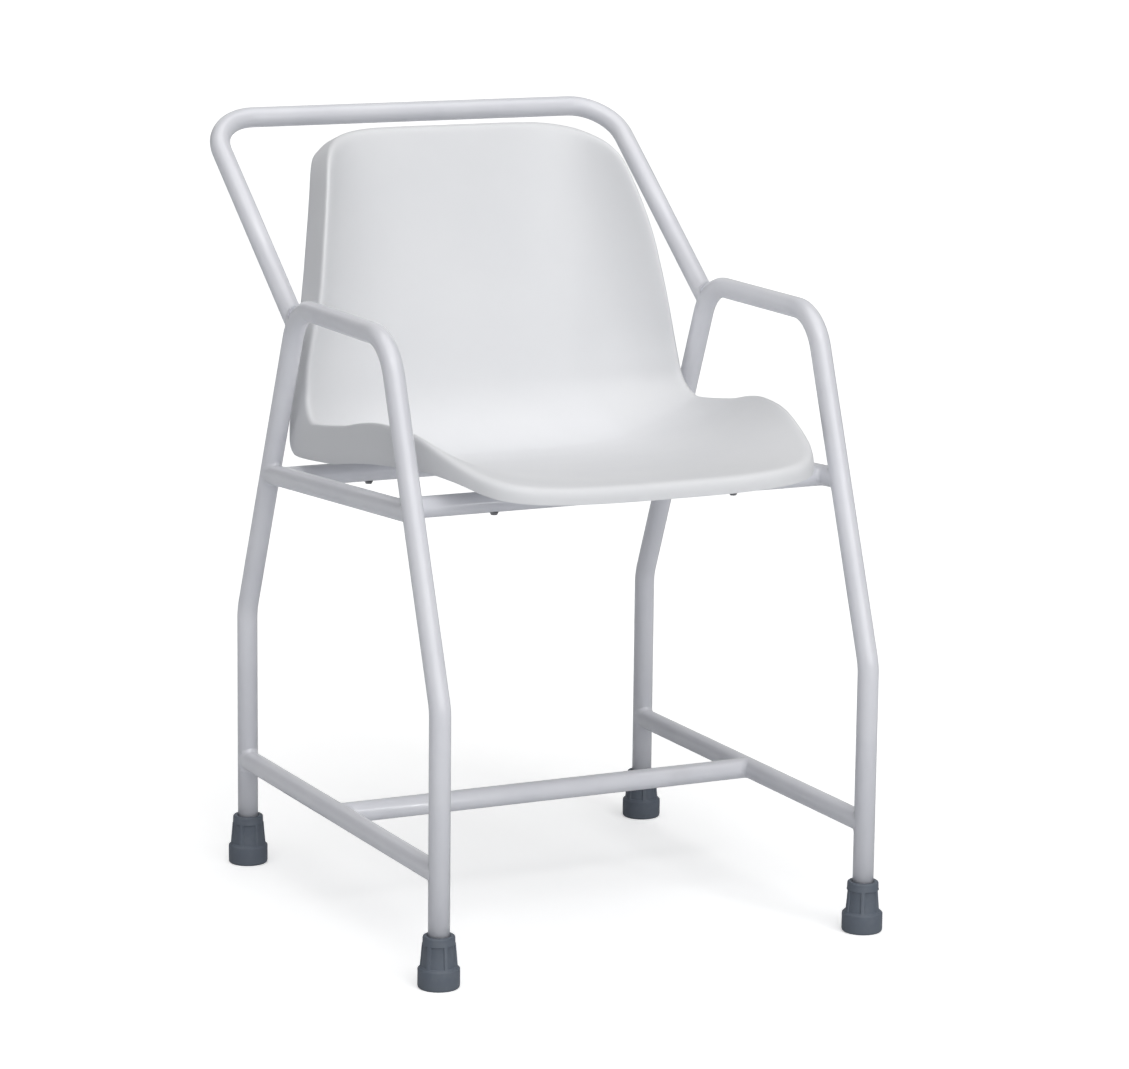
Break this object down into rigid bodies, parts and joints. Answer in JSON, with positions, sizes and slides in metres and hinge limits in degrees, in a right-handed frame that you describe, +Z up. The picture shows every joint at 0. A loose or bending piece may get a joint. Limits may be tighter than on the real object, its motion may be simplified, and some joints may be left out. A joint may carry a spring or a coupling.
{
  "type": "shower chair",
  "caption": "Fixed-height shower chair: one-piece plastic bucket seat and back on a bent round tube frame with arm hoops, a rear grab hoop and ribbed rubber ferrules",
  "frame": {"origin": "on the floor at the middle of the chair's overall footprint", "axes": "+Z up, -Y is the way the sitter faces, +X is to the right for someone facing the chair, and node names use left and right that way"},
  "size_m": [0.533, 0.652, 0.8251],
  "materials": {
    "tube": "smooth semi-gloss powder coat on steel tube",
    "weld": "coated weld bead",
    "ferrule": "matt moulded slate-grey rubber",
    "washer": "plain stamped washer",
    "shell": "satin moulded polypropylene, very fine grain",
    "insert": "plain threaded insert",
    "screw": "stainless button head"
  },
  "bodies": {
    "root": {"side_hoop_left": "tube", "side_hoop_right": "tube", "back_hoop": "tube", "seat_side_rail_left": "tube", "seat_side_rail_right": "tube", "seat_front_rail": "tube", "seat_rear_rail": "tube", "leg_stretcher_left": "tube", "leg_stretcher_right": "tube", "leg_stretcher_cross": "tube", "weld_back_hoop": "weld", "weld_side_rail": "weld", "weld_cross_rail": "weld", "weld_leg_stretcher": "weld", "weld_cross_stretcher": "weld", "ferrule_front_left": "ferrule", "ferrule_front_right": "ferrule", "ferrule_rear_left": "ferrule", "ferrule_rear_right": "ferrule", "foot_washers": "washer", "seat_shell": "shell", "seat_inserts": "insert", "seat_screws": "screw"}
  },
  "joints": []
}
